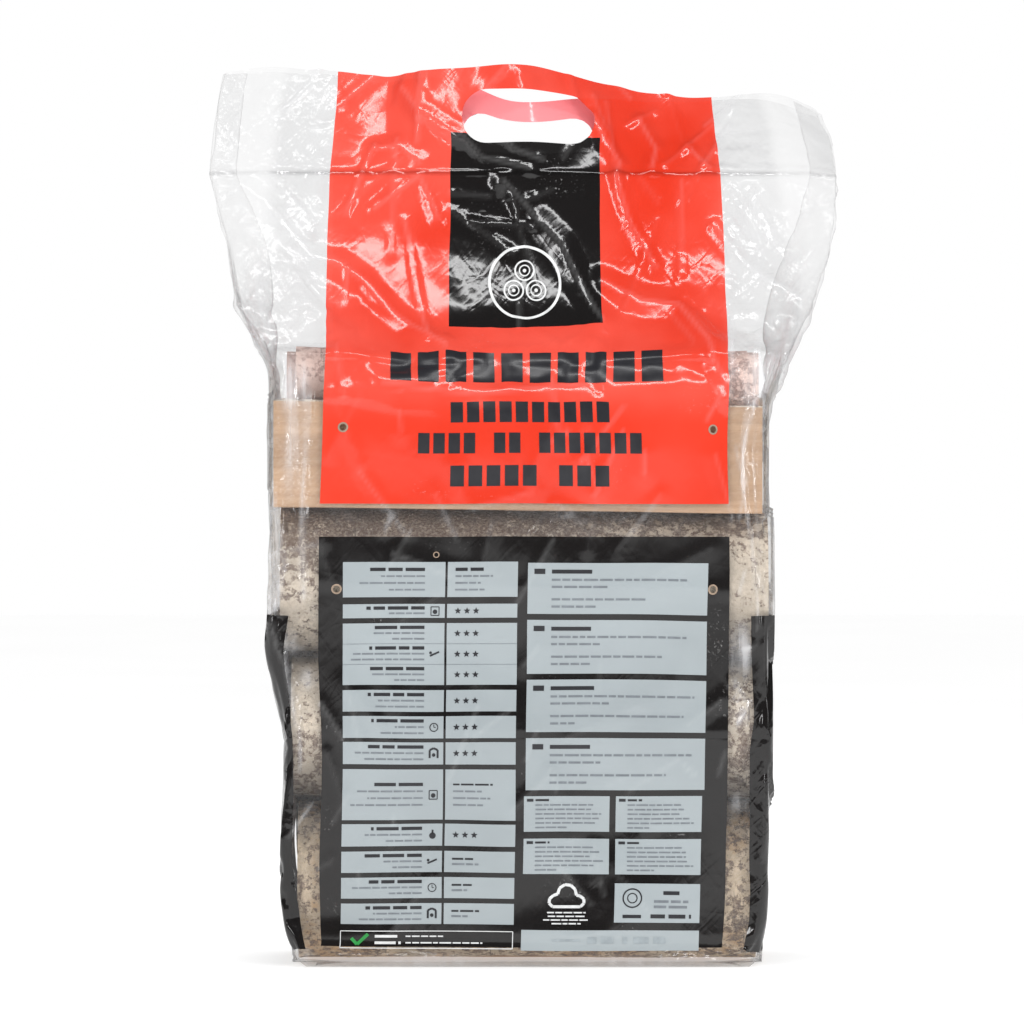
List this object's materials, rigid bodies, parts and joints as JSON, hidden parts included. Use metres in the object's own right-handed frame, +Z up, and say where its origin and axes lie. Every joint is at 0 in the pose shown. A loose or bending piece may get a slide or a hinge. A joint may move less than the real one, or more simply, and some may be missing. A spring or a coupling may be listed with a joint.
{
  "type": "bagged birch firewood bundle",
  "caption": "Clear printed film bag with a die-cut carry hole in its welded header, filled with split and round birch logs stacked crosswise; stands on its flat base.",
  "frame": {"origin": "middle of the bounding box of the base, on the surface the bag stands on", "axes": "+Z up to the header, X along the logs with +X to the right of the printed front, front towards -Y"},
  "size_m": [0.404, 0.154, 0.582],
  "materials": {
    "film": "clear crumpled film with orange-red, black and pale printed panels",
    "bark_white": "papery white bark with dark lenticels",
    "bark_brown": "rough brown and purplish bark",
    "split_wood": "pale split wood with long fibres"
  },
  "bodies": {
    "root": {"film_bag": "film", "log_front_bottom": "bark_brown", "log_rear_bottom": "split_wood", "log_front_low": "bark_white", "log_rear_low": "split_wood", "log_rear_middle": "split_wood", "log_rear_round": "bark_white", "log_front_middle": "bark_white", "log_rear_high": "split_wood", "log_front_high": "split_wood", "log_rear_top": "split_wood", "stick_front_top": "bark_brown", "stick_rear_top": "bark_brown"}
  },
  "joints": []
}
